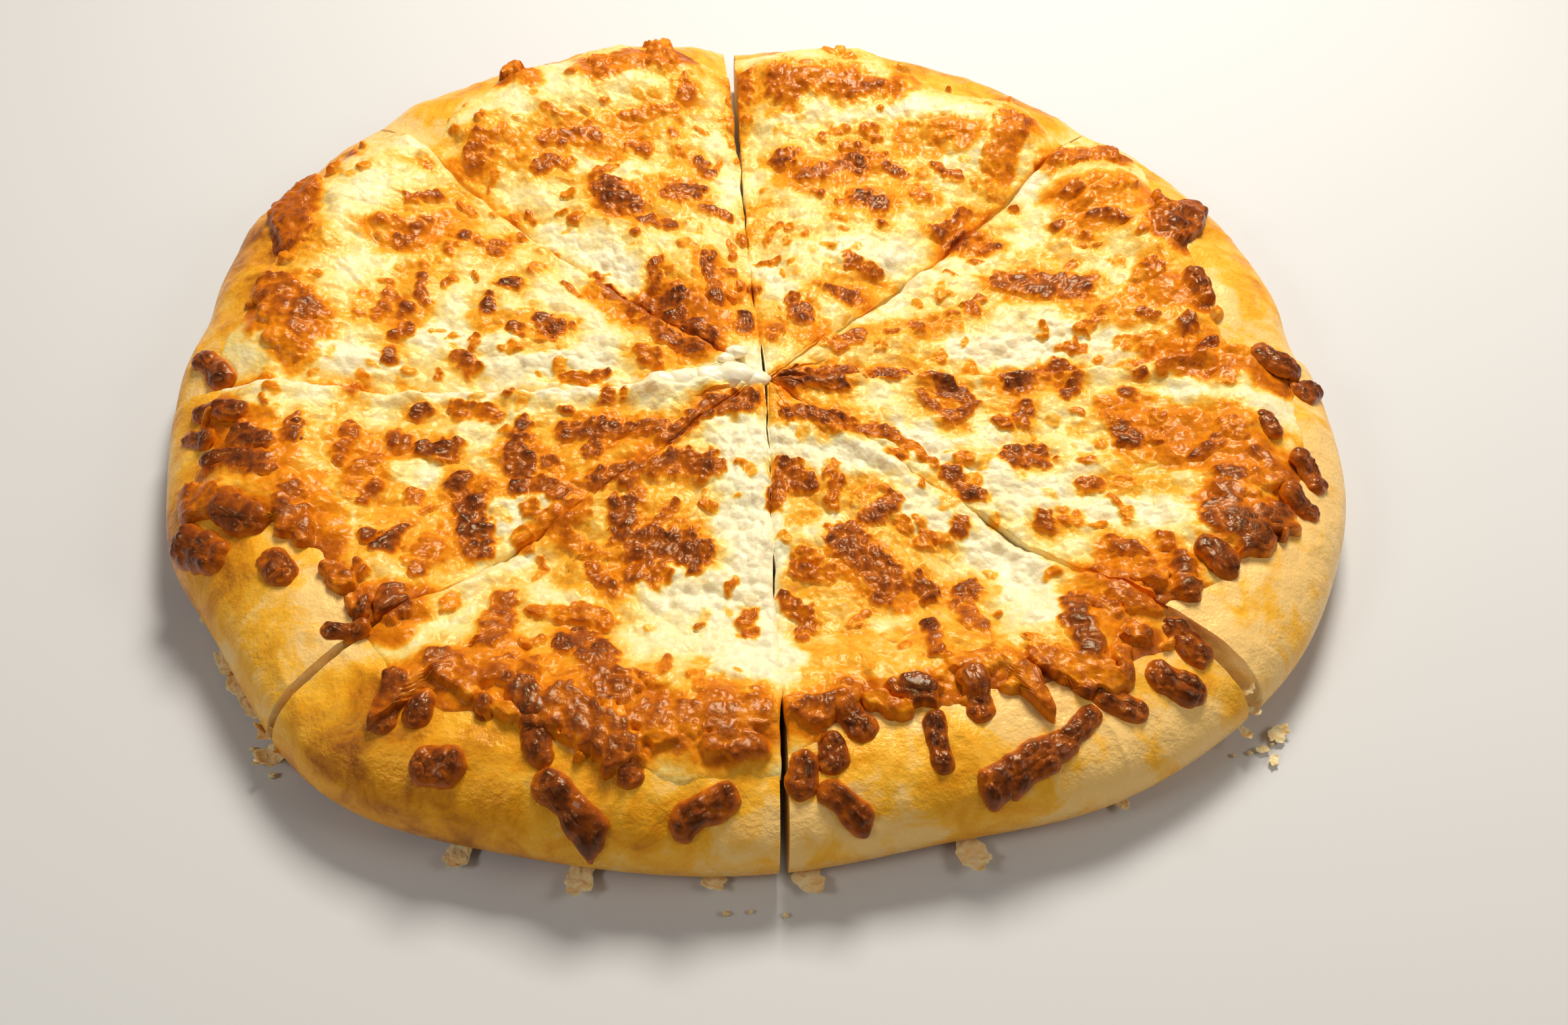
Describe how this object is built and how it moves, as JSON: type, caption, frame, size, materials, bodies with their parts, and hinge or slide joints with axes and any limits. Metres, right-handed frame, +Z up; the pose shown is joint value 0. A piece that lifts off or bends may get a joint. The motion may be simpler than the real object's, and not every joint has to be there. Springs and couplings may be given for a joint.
{
  "type": "sliced khachapuri",
  "caption": "Round cheese-topped flatbread with a thick swollen rim and curd filling, cut into wedge slices that still lie together.",
  "frame": {"origin": "under the middle of the bread, on the plane that it lies on", "axes": "+Z up, +Y away from the side seen first, +X to the right along the wider way across"},
  "size_m": [0.2958, 0.288, 0.0263],
  "materials": {
    "crust": "baked buttered dough, satin",
    "melted_cheese": "melted cheese, oily",
    "curd": "moist crumbly curd",
    "browned_cheese": "blistered browned cheese, oily"
  },
  "bodies": {
    "root": {"bread_1": "crust", "bread_2": "crust", "bread_3": "crust", "bread_4": "crust", "bread_5": "crust", "bread_6": "crust", "bread_7": "crust", "bread_8": "crust", "curd_1": "curd", "curd_2": "curd", "curd_3": "curd", "curd_4": "curd", "curd_5": "curd", "curd_6": "curd", "curd_7": "curd", "curd_8": "curd", "cheese_1": "melted_cheese", "cheese_2": "melted_cheese", "cheese_3": "melted_cheese", "cheese_4": "melted_cheese", "cheese_5": "melted_cheese", "cheese_6": "melted_cheese", "cheese_7": "melted_cheese", "cheese_8": "melted_cheese", "shred_1": "browned_cheese", "shred_2": "browned_cheese", "shred_3": "browned_cheese", "shred_4": "browned_cheese", "shred_5": "browned_cheese", "shred_6": "browned_cheese"}
  },
  "joints": []
}
